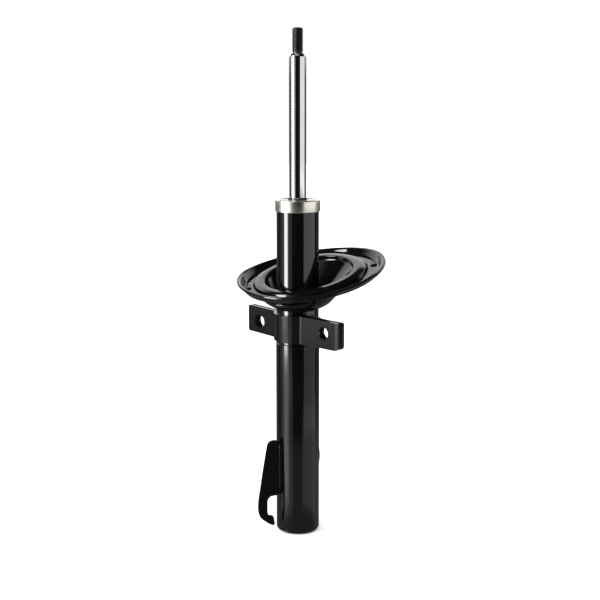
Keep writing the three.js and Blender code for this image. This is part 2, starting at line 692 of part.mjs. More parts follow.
// The hooked plate, drawn with its distance from the tube's axis across and its height up.
function addLocatingPlate() {
  const outline = new THREE.Shape();
  outline.moveTo(PLATE_INNER, 53);
  outline.lineTo(PLATE_INNER, 121);
  outline.bezierCurveTo(PLATE_INNER, 129, 43.5, 129, 45.6, 122.5);
  outline.lineTo(50.4, 101);
  outline.lineTo(55.7, 69);
  outline.lineTo(59.2, 49);
  outline.bezierCurveTo(61.4, 32, 58.5, 24.5, 50.8, 18.5);
  outline.bezierCurveTo(46, 14.6, 41, 11.4, 38, 11);
  outline.bezierCurveTo(36.2, 11, 36.4, 14, 36.8, 16);
  outline.lineTo(38.2, 24);
  outline.lineTo(39.6, 25);
  outline.absarc(41.4, 31, 6, -Math.PI / 2, 0, false);
  outline.absarc(40.4, 44.7, 7, 0, Math.PI / 2, false);
  outline.lineTo(33, 51.7);
  const options = { depth: PLATE_T, bevelEnabled: false, curveSegments: 7 };
  const plate = new THREE.ExtrudeGeometry(outline, options);
  plate.rotateX(Math.PI / 2).translate(0, PLATE_T / 2, 0);
  addPart('locating_plate', plate.rotateZ(PLATE_AZIMUTH), glossBlack());
}

addDamperTube();
addHeadPieces();
addInnerTubeAndBaseValve();
addPistonRod();
addPiston();
addSpringSeat();
addLinkBracket();
addLocatingPlate();

export default group;
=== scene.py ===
"""Looks of a front suspension strut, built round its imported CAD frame. Blender 4.5, metres, +Z up."""
import json
import math

import bmesh
import bpy
from mathutils import Matrix, Vector, noise


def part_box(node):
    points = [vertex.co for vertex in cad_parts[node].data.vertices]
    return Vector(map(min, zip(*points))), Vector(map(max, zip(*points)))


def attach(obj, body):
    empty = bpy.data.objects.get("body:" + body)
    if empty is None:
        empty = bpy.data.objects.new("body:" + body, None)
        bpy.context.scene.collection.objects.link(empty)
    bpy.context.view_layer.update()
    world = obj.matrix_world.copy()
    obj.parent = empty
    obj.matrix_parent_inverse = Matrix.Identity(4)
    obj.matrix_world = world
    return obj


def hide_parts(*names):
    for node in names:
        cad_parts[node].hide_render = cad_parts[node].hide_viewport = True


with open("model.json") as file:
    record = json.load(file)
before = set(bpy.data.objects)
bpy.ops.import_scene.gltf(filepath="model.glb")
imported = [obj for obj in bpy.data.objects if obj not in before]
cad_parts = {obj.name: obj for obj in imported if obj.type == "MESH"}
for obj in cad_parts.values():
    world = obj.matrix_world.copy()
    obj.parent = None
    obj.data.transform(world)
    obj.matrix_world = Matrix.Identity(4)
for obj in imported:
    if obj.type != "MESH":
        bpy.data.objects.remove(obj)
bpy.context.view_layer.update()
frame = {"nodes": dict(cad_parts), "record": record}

MM = 0.001
NODES = frame["nodes"]
RECORD = frame["record"]

# Camera: azimuth and pitch in degrees, distances in metres
VIEW_AZIMUTH = math.radians(43)
VIEW_PITCH = math.radians(9)
VIEW_DISTANCE = 1.410
VIEW_HEIGHT = 0.571
VIEW_ASIDE = 0.003
LENS_MM = 66
SHIFT_UP = -28 / 600

# Sizes shared by several pieces, in millimetres
GAP = 0.3                     # clearance between neighbouring pieces
TUBE_R = 27.5
LOWER_TUBE_R = 28.5
TUBE_WALL = 2
TUBE_STEP_Z = 256             # the tube narrows here, below the bracket
PIP_Z = 101
PIP_TURNS = (math.radians(43), math.radians(223))
ROD_R = 11
STUD_R = 7
STUD_LENGTH = 32
SEAT_AXIS_Z = 337.5           # where the seat's axis crosses the tube's
STRIP_T = 3.5
PLATE_T = 4
PLATE_AZIMUTH = math.radians(254)

# Sides of turned pieces
TUBE_SIDES = 240
ROUND_SIDES = 160
SEAL_SIDES = 128


def low(node):
    """Height of a CAD node's underside, in millimetres."""
    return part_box(node)[0].z / MM


def high(node):
    """Height of a CAD node's top, in millimetres."""
    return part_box(node)[1].z / MM


# ---------------------------------------------------------------- mesh helpers

def make_object(name, vertices, faces):
    """A smooth-shaded mesh object from vertices in millimetres."""
    mesh = bpy.data.meshes.new(name)
    mesh.from_pydata([Vector(v) * MM for v in vertices], [], faces)
    build = bmesh.new()
    build.from_mesh(mesh)
    bmesh.ops.recalc_face_normals(build, faces=build.faces)
    for face in build.faces:
        face.smooth = True
    build.to_mesh(mesh)
    build.free()
    obj = bpy.data.objects.new(name, mesh)
    bpy.context.scene.collection.objects.link(obj)
    return obj


def apply_modifiers(obj):
    """Replaces an object's mesh by what its modifiers make of it."""
    bpy.context.view_layer.update()
    evaluated = obj.evaluated_get(bpy.context.evaluated_depsgraph_get())
    mesh = bpy.data.meshes.new_from_object(evaluated)
    obj.modifiers.clear()
    obj.data = mesh
    for polygon in mesh.polygons:
        polygon.use_smooth = True
    return obj


def rounded_profile(corners, steps=5):
    """Corners (r, z, radius) become a point list with an arc at each corner that has a radius."""
    points = []
    count = len(corners)
    for i, (x, y, radius) in enumerate(corners):
        here = Vector((x, y))
        before = Vector(corners[i - 1][:2]) - here
        after = Vector(corners[(i + 1) % count][:2]) - here
        if radius <= 0 or before.length < 1e-6 or after.length < 1e-6:
            points.append((x, y))
            continue
        half = before.angle(after) / 2
        reach = min(radius / math.tan(half), 0.48 * before.length, 0.48 * after.length)
        radius = reach * math.tan(half)
        centre = here + (before.normalized() + after.normalized()).normalized() * (radius / math.sin(half))
        first = here + before.normalized() * reach - centre
        last = here + after.normalized() * reach - centre
        for k in range(steps + 1):
            spoke = first.slerp(last, k / steps, first)
            points.append(tuple(centre + spoke.normalized() * radius))
    return points


def lathe(name, profile, sides=128, closed=True):
    """Turns (r, z) points about the Z axis. An open profile starts and ends on the axis."""
    vertices = []
    rings = []
    for r, z in profile:
        if r < 1e-6:
            rings.append([len(vertices)] * sides)
            vertices.append((0, 0, z))
            continue
        rings.append(list(range(len(vertices), len(vertices) + sides)))
        for i in range(sides):
            angle = 2 * math.pi * i / sides
            vertices.append((r * math.cos(angle), r * math.sin(angle), z))
    faces = []
    last = len(rings) if closed else len(rings) - 1
    for j in range(last):
        lower, upper = rings[j], rings[(j + 1) % len(rings)]
        for i in range(sides):
            k = (i + 1) % sides
            corner = [lower[i], lower[k], upper[k], upper[i]]
            face = list(dict.fromkeys(corner))
            if len(face) > 2:
                faces.append(face)
    return make_object(name, vertices, faces)


def extrude_outline(name, outline, bottom, top):
    """A prism over a closed outline of (x, y) points."""
    count = len(outline)
    vertices = [(x, y, bottom) for x, y in outline] + [(x, y, top) for x, y in outline]
    faces = [list(range(count))[::-1], list(range(count, 2 * count))]
    for i in range(count):
        k = (i + 1) % count
        faces.append([i, k, count + k, count + i])
    return make_object(name, vertices, faces)


def boolean(obj, cutter, operation):
    """Cuts or intersects obj with cutter, which is used up."""
    modifier = obj.modifiers.new("cut", "BOOLEAN")
    modifier.operation = operation
    modifier.solver = "EXACT"
    modifier.object = cutter
    apply_modifiers(obj)
    bpy.data.objects.remove(cutter)
    return obj


def soften(obj, width_mm):
    """Rounds the sharp edges and evens the shading of the flats beside them."""
    bevel = obj.modifiers.new("bevel", "BEVEL")
    bevel.width = width_mm * MM
    bevel.segments = 3
    bevel.limit_method = "ANGLE"
    bevel.angle_limit = math.radians(35)
    bevel.use_clamp_overlap = True
    bevel.miter_outer = "MITER_ARC"
    weighted = obj.modifiers.new("normals", "WEIGHTED_NORMAL")
    weighted.keep_sharp = False
    return apply_modifiers(obj)


def arc_points(cx, cy, radius, start, end, steps):
    """Points of an arc, its angles in radians."""
    angles = [start + (end - start) * i / steps for i in range(steps + 1)]
    return [(cx + radius * math.cos(a), cy + radius * math.sin(a)) for a in angles]


def bezier_points(*control, steps=8):
    """Points of a quadratic or cubic curve, without its first one."""
    points = []
    for i in range(1, steps + 1):
        t = i / steps
        level = [Vector(c) for c in control]
        while len(level) > 1:
            level = [a.lerp(b, t) for a, b in zip(level, level[1:])]
        points.append(tuple(level[0]))
    return points


def catmull(values, samples):
    """A smooth curve through equal-length tuples, sampled evenly between its points."""
    result = []
    last = len(values) - 1
    for j in range(last):
        p0, p1 = values[max(j - 1, 0)], values[j]
        p2, p3 = values[j + 1], values[min(j + 2, last)]
        for k in range(samples):
            t = k / samples
            result.append(tuple(
                0.5 * (2 * b + (c - a) * t + (2 * a - 5 * b + 4 * c - d) * t * t
                       + (3 * b - a - 3 * c + d) * t ** 3)
                for a, b, c, d in zip(p0, p1, p2, p3)))
    result.append(tuple(values[-1]))
    return result


def bead_along(name, path, radius, closed):
    """A weld bead: a rippled tube along points in millimetres, its open ends drawn in."""
    ripple, pitch, uneven, sides = 0.22, 2.6, 0.08, 12
    count = len(path)
    points = [Vector(p) for p in path]
    travelled = 0.0
    vertices = []
    for i, point in enumerate(points):
        before = points[i - 1] if closed or i else point
        after = points[(i + 1) % count] if closed or i < count - 1 else point
        along = (after - before).normalized()
        side = along.cross(Vector((0, 0, 1)))
        if side.length < 0.2:
            side = along.cross(Vector((point.x, point.y, 0)))
        side.normalize()
        up = along.cross(side).normalized()
        travelled += (point - before).length if i else 0.0
        wave = abs(math.sin(math.pi * travelled / pitch))
        size = radius * (1 - ripple * wave + uneven * noise.noise(point * 0.35))
        if not closed:
            edge = min(i, count - 1 - i) / (count - 1)
            size *= min(1.0, 0.15 + (edge * 12) ** 0.5 * 0.85)
        for k in range(sides):
            angle = 2 * math.pi * k / sides
            vertices.append(point + side * (size * math.cos(angle)) + up * (size * math.sin(angle)))
    faces = []
    for i in range(count if closed else count - 1):
        j = (i + 1) % count
        for k in range(sides):
            m = (k + 1) % sides
            faces.append([i * sides + k, i * sides + m, j * sides + m, j * sides + k])
    if not closed:
        faces.append(list(range(sides)))
        faces.append(list(range((count - 1) * sides, count * sides)))
    return make_object(name, vertices, faces)


# ---------------------------------------------------------------- materials

def new_material(name):
    """A material with its node tree, shader and a function that adds linked nodes."""
    material = bpy.data.materials.new(name)
    material.use_nodes = True
    tree = material.node_tree
    shader = tree.nodes["Principled BSDF"]

    def add(kind, **values):
        node = tree.nodes.new(kind)
        for key, value in values.items():
            if key in node.inputs and not hasattr(node, key):
                target = node.inputs[key]
                if hasattr(value, "is_output"):
                    tree.links.new(value, target)
                else:
                    target.default_value = value
            else:
                setattr(node, key, value)
        return node

    return material, tree, shader, add


def noise_node(tree, add, coords, scale, detail=4.0, rough=0.55):
    node = add("ShaderNodeTexNoise")
    tree.links.new(coords, node.inputs["Vector"])
    node.inputs["Scale"].default_value = scale
    node.inputs["Detail"].default_value = detail
    node.inputs["Roughness"].default_value = rough
    return node.outputs["Fac"]


def ramp_node(tree, add, source, stops):
    """A ramp from (position, grey or colour) stops."""
    node = add("ShaderNodeValToRGB")
    tree.links.new(source, node.inputs["Fac"])
    elements = node.color_ramp.elements
    while len(elements) < len(stops):
        elements.new(0.5)
    for element, (position, value) in zip(elements, stops):
        element.position = position
        colour = value if isinstance(value, tuple) else (value, value, value)
        element.color = (*colour, 1)
    return node.outputs["Color"]


def bump_chain(tree, add, shader, layers):
    """Bumps one on another from (height socket, strength, distance in metres)."""
    normal = None
    for source, strength, distance in layers:
        node = add("ShaderNodeBump")
        node.inputs["Strength"].default_value = strength
        node.inputs["Distance"].default_value = distance
        tree.links.new(source, node.inputs["Height"])
        if normal:
            tree.links.new(normal, node.inputs["Normal"])
        normal = node.outputs["Normal"]
    tree.links.new(normal, shader.inputs["Normal"])


def stretched(tree, add, coords, scale):
    node = add("ShaderNodeMapping")
    tree.links.new(coords, node.inputs["Vector"])
    node.inputs["Scale"].default_value = scale
    return node.outputs["Vector"]


def electrocoat(name, colour, roughness, peel, grain, specular=0.5):
    """Black electrocoat: cloudy tone and gloss, orange peel and fine grain."""
    material, tree, shader, add = new_material(name)
    coords = add("ShaderNodeTexCoord").outputs["Object"]
    patches = noise_node(tree, add, coords, 28, 5)
    fine = noise_node(tree, add, coords, 900, 3)
    waves = noise_node(tree, add, coords, 260, 2, 0.4)
    tone = ramp_node(tree, add, patches, [
        (0.3, tuple(0.75 * c for c in colour)), (0.7, tuple(1.3 * c for c in colour))])
    tree.links.new(tone, shader.inputs["Base Color"])
    rough = ramp_node(tree, add, patches, [(0.25, roughness * 0.85), (0.75, roughness * 1.2)])
    tree.links.new(rough, shader.inputs["Roughness"])
    shader.inputs["Specular IOR Level"].default_value = specular
    bump_chain(tree, add, shader, [(waves, peel, 0.0002), (fine, grain, 0.00006)])
    return material


def bare_metal(name, dark, light, roughness, turned=0.0, grain=0.1, spots=False):
    """Metal with cloudy colour, roughness patches and turning marks round the Z axis."""
    material, tree, shader, add = new_material(name)
    coords = add("ShaderNodeTexCoord").outputs["Object"]
    clouds = noise_node(tree, add, coords, 60, 5)
    tone = ramp_node(tree, add, clouds, [(0.3, dark), (0.7, light)])
    tree.links.new(tone, shader.inputs["Base Color"])
    rough = ramp_node(tree, add, clouds, [(0.25, roughness * 0.8), (0.75, min(1.0, roughness * 1.25))])
    tree.links.new(rough, shader.inputs["Roughness"])
    shader.inputs["Metallic"].default_value = 1.0
    fine = noise_node(tree, add, coords, 1400, 3)
    layers = [(fine, grain, 0.00005)]
    if turned:
        lines = noise_node(tree, add, stretched(tree, add, coords, (6, 6, 2600)), 1, 3)
        layers.append((lines, turned, 0.00004))
    if spots:
        pores = add("ShaderNodeTexVoronoi")
        tree.links.new(coords, pores.inputs["Vector"])
        pores.inputs["Scale"].default_value = 1500
        layers.append((pores.outputs["Distance"], 0.5, 0.0001))
    bump_chain(tree, add, shader, layers)
    return material


def hard_chrome():
    """Ground and polished chrome, with the faintest grinding marks."""
    material, tree, shader, add = new_material("hard_chrome")
    coords = add("ShaderNodeTexCoord").outputs["Object"]
    clouds = noise_node(tree, add, coords, 35, 4)
    tone = ramp_node(tree, add, clouds, [(0.3, (0.57, 0.57, 0.56)), (0.7, (0.62, 0.62, 0.61))])
    tree.links.new(tone, shader.inputs["Base Color"])
    rough = ramp_node(tree, add, clouds, [(0.3, 0.035), (0.7, 0.07)])
    tree.links.new(rough, shader.inputs["Roughness"])
    shader.inputs["Metallic"].default_value = 1.0
    lines = noise_node(tree, add, stretched(tree, add, coords, (4, 4, 3500)), 1, 2)
    bump_chain(tree, add, shader, [(lines, 0.015, 0.00001)])
    return material


def soft_polymer(name, colour, roughness):
    """Rubber or filled plastic with a dull, slightly mottled skin."""
    material, tree, shader, add = new_material(name)
    coords = add("ShaderNodeTexCoord").outputs["Object"]
    mottle = noise_node(tree, add, coords, 90, 4)
    fine = noise_node(tree, add, coords, 700, 3)
    tone = ramp_node(tree, add, mottle, [
        (0.3, tuple(0.7 * c for c in colour)), (0.7, tuple(1.4 * c for c in colour))])
    tree.links.new(tone, shader.inputs["Base Color"])
    rough = ramp_node(tree, add, mottle, [(0.3, roughness * 0.9), (0.7, min(1.0, roughness * 1.15))])
    tree.links.new(rough, shader.inputs["Roughness"])
    bump_chain(tree, add, shader, [(fine, 0.3, 0.0001)])
    return material


def paint(obj, material):
    obj.data.materials.clear()
    obj.data.materials.append(material)
    return obj


def place(obj, material, body, slot_name, *replaced):
    """Finishes a piece: its material, the body it moves with, and the CAD nodes it stands for. slot_name is
    not used.
    """
    paint(obj, material)
    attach(obj, body)
    if replaced:
        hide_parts(*replaced)
    return obj


GLOSS = electrocoat("gloss_electrocoat", (0.0022, 0.0022, 0.0024), 0.07, 0.03, 0.015)
SATIN = electrocoat("satin_electrocoat", (0.0045, 0.0045, 0.0042), 0.07, 0.06, 0.1)
# Painted shade: a darker, barely reflecting copy of the black coat, so the hook plate's face looks as black
# as the dark reflection it shows
PLATE_PAINTED_SHADE = electrocoat("plate_electrocoat_painted_shade", (0.0012, 0.0012, 0.0012), 0.10, 0.10, 0.05, specular=0.07)
TUBE_FINISH = electrocoat("tube_electrocoat", (0.0018, 0.0018, 0.0018), 0.08, 0.03, 0.02, specular=0.6)
ZINC = bare_metal("zinc_plate", (0.80, 0.77, 0.69), (0.92, 0.89, 0.82), 0.31, turned=0.12, grain=0.12)
CHROME = hard_chrome()
PHOSPHATE = bare_metal("dark_phosphate", (0.05, 0.05, 0.052), (0.11, 0.11, 0.112), 0.42, grain=0.4)
STEEL = bare_metal("oiled_steel", (0.36, 0.37, 0.38), (0.50, 0.51, 0.52), 0.28, turned=0.3)
SPRING_STEEL = bare_metal("blued_steel", (0.13, 0.15, 0.20), (0.27, 0.28, 0.31), 0.30, grain=0.15)
SINTERED = bare_metal("sintered_iron", (0.11, 0.105, 0.10), (0.20, 0.195, 0.19), 0.55, spots=True)
BRONZE = bare_metal("bush_bronze", (0.32, 0.20, 0.09), (0.50, 0.33, 0.15), 0.38, turned=0.2)
RUBBER = soft_polymer("nitrile_rubber", (0.011, 0.011, 0.012), 0.62)
BAND = soft_polymer("filled_fluoropolymer", (0.085, 0.07, 0.055), 0.5)

SLOT_FINISH = {
    "satin_black": SATIN, "gloss_black": GLOSS, "zinc": ZINC, "chrome": CHROME, "steel": STEEL,
    "spring_steel": SPRING_STEEL, "sintered": SINTERED, "bronze": BRONZE, "rubber": RUBBER,
    "sliding_band": BAND,
}


def finish_frame_nodes():
    """Gives each CAD node the finish of its slot."""
    for entry in RECORD["subparts"]:
        paint(NODES[entry["node"]], SLOT_FINISH[entry["material_slot"]])


# ---------------------------------------------------------------- damper tube

def press_pips(tube):
    """Pushes two smooth pips out of the lower tube, where the knuckle's clamp stops."""
    rise, half_width, half_height = 1.1, 8, 15
    for vertex in tube.data.vertices:
        x, y, z = vertex.co / MM
        radius = math.hypot(x, y)
        if radius < LOWER_TUBE_R - 0.1:
            continue
        for turn in PIP_TURNS:
            across = LOWER_TUBE_R * math.remainder(math.atan2(y, x) - turn, 2 * math.pi)
            near = 1 - (across / half_width) ** 2 - ((z - PIP_Z) / half_height) ** 2
            grown = 1 + rise * max(0.0, near) ** 2 / radius
            vertex.co.x *= grown
            vertex.co.y *= grown


def build_damper_tube():
    top, bottom = high("outer_tube"), low("outer_tube")
    lip = 20
    bore = TUBE_R - TUBE_WALL
    lower_bore = LOWER_TUBE_R - TUBE_WALL
    close_rings = [(LOWER_TUBE_R, PIP_Z + z, 0) for z in range(-18, 19)]    # they carry the pips
    corners = [
        (lower_bore, bottom, 0), (LOWER_TUBE_R, bottom, 0.4), *close_rings,
        (LOWER_TUBE_R, TUBE_STEP_Z - 1.4, 0.4), (TUBE_R, TUBE_STEP_Z - 0.2, 0.4),
        (TUBE_R, top, 3.6), (lip, top, 0.8), (lip, top - TUBE_WALL, 0.3), (bore, top - TUBE_WALL, 1.6),
        (bore, TUBE_STEP_Z, 2), (lower_bore, TUBE_STEP_Z - 5, 2),
    ]
    tube = lathe("damper_tube", rounded_profile(corners, 6), TUBE_SIDES)
    press_pips(tube)
    place(tube, TUBE_FINISH, "tube", "satin_black", "outer_tube")

    flange = bottom - 0.15
    base_r = 28.4
    flat = 21.5
    plug = lower_bore - GAP
    plug_top = high("base_cap")
    corners = [
        (0, 0, 0), (flat, 0, 3), (base_r - 1.6, 1.2, 2.5), (base_r, flange, 0.4), (plug, flange, 0),
        (plug, plug_top, 0.4), (plug - 2.2, plug_top, 0.4),
        (plug - 2.6, 8, 2), (plug - 5.4, 5, 1), (0, 5, 0),
    ]
    base = lathe("base_closure", rounded_profile(corners, 6), ROUND_SIDES, closed=False)
    place(base, TUBE_FINISH, "tube", "satin_black", "base_cap")


def build_cap():
    top, bottom = high("bump_cap"), low("bump_cap")
    outer = 29.2
    bore = TUBE_R + GAP
    hole = 12.8
    corners = [
        (bore, bottom, 0.2), (outer, bottom, 0.8), (outer, top, 1.7), (outer - 5, top, 1.2),
        (outer - 6.8, top - 1, 1.2), (hole, top - 1, 0.5), (hole, top - 3, 0.4), (outer - 7.5, top - 3, 1),
        (bore, top - 3.6, 1),
    ]
    cap = lathe("bump_stop_cap", rounded_profile(corners, 6), ROUND_SIDES)
    place(cap, ZINC, "tube", "zinc", "bump_cap")

    seal_top = high("wiper_seal")
    seal_bottom = low("wiper_seal")
    lip = 12.3
    corners = [
        (ROD_R + 0.15, seal_bottom, 0.2), (18.3, seal_bottom, 0.4), (16.8, seal_bottom + 6, 0.6),
        (lip, seal_bottom + 6.6, 0.6), (lip, seal_top - 0.5, 0.4), (ROD_R + 0.12, seal_top, 0.25),
        (ROD_R + 0.5, seal_top - 4, 0.5),
    ]
    seal = lathe("rod_wiper", rounded_profile(corners, 5), SEAL_SIDES)
    place(seal, RUBBER, "tube", "rubber", "wiper_seal")


# ---------------------------------------------------------------- piston rod

def build_rod():
    bottom, tip = low("piston_rod"), high("piston_rod")
    shoulder = tip - STUD_LENGTH
    spigot_top = 313
    spigot = 6
    groove = 370
    corners = [
        (0, bottom, 0), (spigot, bottom, 0.8), (spigot, spigot_top, 0), (ROD_R, spigot_top, 0.5),
        (ROD_R, groove, 0.2), (ROD_R - 1, groove, 0.2),
        (ROD_R - 1, groove + 3, 0.2), (ROD_R, groove + 3, 0.2),
        (ROD_R, shoulder - 3.4, 3.0), (ROD_R - 2.3, shoulder, 1.0), (STUD_R + 0.4, shoulder, 0.2),
        (STUD_R + 0.1, shoulder - 0.5, 0.2), (0, shoulder - 0.5, 0),
    ]
    shaft = lathe("rod_shaft", rounded_profile(corners, 6), ROUND_SIDES, closed=False)
    place(shaft, CHROME, "rod", "chrome", "piston_rod")
    build_stud(shoulder - 0.4, tip)


def build_stud(root, tip):
    """The stud, with one helical thread that fades in above the root and out at the chamfer."""
    pitch = 1.5
    depth = 0.82
    sides = 72
    per_pitch = 10
    relief = STUD_R - 1.0
    tip_r = STUD_R - 1.9
    thread_start = root + 3.2
    step = pitch / per_pitch
    heights = [root + i * step for i in range(int((tip - root) / step))] + [tip]
    vertices = []
    for z in heights:
        for i in range(sides):
            turn = i / sides
            phase = ((z - thread_start) / pitch - turn) % 1.0
            groove = depth * max(0.0, 1 - abs(phase - 0.5) / 0.44)
            fade = min(max((z - thread_start) / (1.2 * pitch), 0.0), 1.0)
            radius = STUD_R - groove * fade
            if z < thread_start - 0.6:
                radius = relief
            elif z < thread_start + 0.4:
                radius = relief + (STUD_R - relief) * (z - thread_start + 0.6)
            radius = min(radius, tip_r + (tip - z))
            angle = 2 * math.pi * turn
            vertices.append((radius * math.cos(angle), radius * math.sin(angle), z))
    faces = [list(range(sides))[::-1]]
    for j in range(len(heights) - 1):
        for i in range(sides):
            k = (i + 1) % sides
            faces.append([j * sides + i, j * sides + k, (j + 1) * sides + k, (j + 1) * sides + i])
    base = len(vertices) - sides
    end_rings = (0.6, 0.3)
    for share in end_rings:
        radius = tip_r * share
        for i in range(sides):
            angle = 2 * math.pi * i / sides
            vertices.append((radius * math.cos(angle), radius * math.sin(angle), tip))
    for _ in end_rings:
        for i in range(sides):
            k = (i + 1) % sides
            faces.append([base + i, base + k, base + sides + k, base + sides + i])
        base += sides
    faces.append(list(range(base, base + sides)))
    stud = make_object("rod_stud", vertices, faces)
    place(stud, PHOSPHATE, "rod", "steel")


# ---------------------------------------------------------------- spring seat

SEAT_WARP = (-0.7, 3.1)       # height of the rim's twist: twice-round cosine and sine

# How the seat's rings lie: (ring radius, offset of the centre, tilt in degrees, share of the twist)
SEAT_LAY = [
    (57, 22.2, 15.4, 0), (62, 22.6, 15.2, 0), (70.5, 23.5, 14.6, 0),
    (76.5, 24.6, 13.8, 0), (80.5, 25.2, 13.6, 0), (88.4, 26.4, 13.6, 0),
    (91.6, 26.8, 13.2, 0), (96, 27.1, 12.37, 1), (100, 27.1, 12.37, 1),
]
# Corners of the pressing beyond its well: (ring radius, lift, fillet)
SEAT_UPPER = [
    (58.6, -4.5, 0), (59.1, 1.0, 1.0), (66.5, 1.6, 30), (74.0, 0.1, 1.1), (76.4, -4.4, 1.6),
    (88.7, -4.4, 1.8), (93.4, 3.35, 1.3), (98.3, 3.35, 0.8), (98.85, 1.4, 0),
]
SEAT_LOWER = [
    (98.85, 0.6, 0), (98.3, -0.15, 0.5), (95.2, -0.15, 1.2), (91.6, -4.9, 2.5), (89.4, -7.2, 2.5),
    (75.2, -7.2, 2.5), (72.4, -2.3, 2.5), (62.3, -1.9, 2.5), (61.6, -5.5, 0),
]


def placed_ring(radius, y, z, tilt_degrees=0.0):
    """(radius, centre y, centre z, tilt, share of the twist) of a ring."""
    return (radius, y, z, math.radians(tilt_degrees), 0.0)


def seat_ring(radius, lift):
    """A ring whose centre lies off the tube's axis, as its radius decides."""
    for inner, outer in zip(SEAT_LAY, SEAT_LAY[1:]):
        if radius <= outer[0]:
            break
    share = (radius - inner[0]) / (outer[0] - inner[0])
    offset, tilt, warp = (a + (b - a) * share for a, b in zip(inner[1:], outer[1:]))
    tilt = math.radians(tilt)
    y = offset * math.cos(tilt) - lift * math.sin(tilt)
    z = SEAT_AXIS_Z + offset * math.sin(tilt) + lift * math.cos(tilt)
    return (radius, y, z, tilt, warp)


HUB_TOP = 306.5
HUB_BOTTOM = 301.5
WELL_UPPER = [
    placed_ring(TUBE_R + GAP, 0, HUB_TOP), placed_ring(33, 0, HUB_TOP + 0.9),
    placed_ring(40.5, 0, HUB_TOP + 5.5), placed_ring(47.5, 9, HUB_TOP + 16.5, 7),
    placed_ring(54, 17, HUB_TOP + 26, 12), seat_ring(58.6, -4.5),
]
WELL_LOWER = [
    seat_ring(61.6, -5.5), placed_ring(57, 17, HUB_BOTTOM + 28.5, 12),
    placed_ring(50.6, 9, HUB_BOTTOM + 18.7, 7), placed_ring(43.6, 0, HUB_BOTTOM + 8.1),
    placed_ring(36, 0, HUB_BOTTOM + 2.7), placed_ring(31, 0, HUB_BOTTOM + 0.3),
    placed_ring(TUBE_R + GAP, 0, HUB_BOTTOM),
]


def section_rings(corners):
    """Rings of a filleted section, with extra ones between its far corners."""
    rings = []
    points = rounded_profile(corners, 6)
    for start, end in zip(points, points[1:]):
        steps = max(1, round(math.dist(start, end) / 1.2))
        for k in range(steps):
            share = k / steps
            radius = start[0] + (end[0] - start[0]) * share
            lift = start[1] + (end[1] - start[1]) * share
            rings.append(seat_ring(radius, lift))
    rings.append(seat_ring(*points[-1]))
    return rings


# Stamped pads in the trough: (angle in degrees, then ring radius, half length, half width, height)
SEAT_PADS = [(turn, 83.5, 7, 3.4, 1.6) for turn in (48, 138, 228, 318)]


def pad_height(angle, radius):
    """Rise of the stamped pads above the trough at a place on the seat."""
    rise = 0.0
    for degrees, ring, half_length, half_width, height in SEAT_PADS:
        turn = (angle - math.radians(degrees) + math.pi) % (2 * math.pi) - math.pi
        along = turn * ring / half_length
        across = (radius - ring) / half_width
        distance = math.hypot(along, across)
        rise += height * (1 / (1 + math.exp((distance - 1) * 9)))
    return rise


def build_spring_seat():
    sides = 256
    rings = catmull(WELL_UPPER, 5)[:-1] + section_rings(SEAT_UPPER)
    rings += section_rings(SEAT_LOWER) + catmull(WELL_LOWER, 5)[1:]
    vertices = []
    for radius, y, z, tilt, warp in rings:
        for i in range(sides):
            angle = 2 * math.pi * i / sides
            lift = pad_height(angle, radius) if 77 < radius < 90 else 0.0
            lift += warp * (SEAT_WARP[0] * math.cos(2 * angle) + SEAT_WARP[1] * math.sin(2 * angle))
            along = radius * math.sin(angle)
            vertices.append((
                radius * math.cos(angle),
                y + along * math.cos(tilt) - lift * math.sin(tilt),
                z + along * math.sin(tilt) + lift * math.cos(tilt)))
    faces = []
    for j in range(len(rings)):
        n = (j + 1) % len(rings)
        for i in range(sides):
            k = (i + 1) % sides
            faces.append([j * sides + i, j * sides + k, n * sides + k, n * sides + i])
    seat = make_object("spring_seat_pressing", vertices, faces)
    place(seat, GLOSS, "tube", "gloss_black", "spring_seat")

    ring = TUBE_R + 0.5
    steps = 240
    for name, z, radius in (("seat_weld_upper", 307.2, 1.7), ("seat_weld_lower", 301.4, 1.6)):
        angles = [2 * math.pi * i / steps for i in range(steps)]
        path = [(ring * math.cos(a), ring * math.sin(a), z) for a in angles]
        place(bead_along(name, path, radius, True), GLOSS, "tube", "gloss_black")


# ---------------------------------------------------------------- link bracket

HOSE_EAR_TURN = math.radians(8.6)
HOSE_END_X = -87
LINK_END_X = 92
REAR_TOP_Z = 286
REAR_START_Y = 2
LINK_HOLE = (63, 278.5)
HOSE_HOLE = (-63.5, 275)
HOLE_R = 8.2
HOSE_SLOT_STRETCH = 4.6
STRIP_R = TUBE_R + GAP + STRIP_T / 2


def on_circle(angle):
    """A point of the strip's middle line where it runs round the tube."""
    return Vector((STRIP_R * math.cos(angle), STRIP_R * math.sin(angle)))


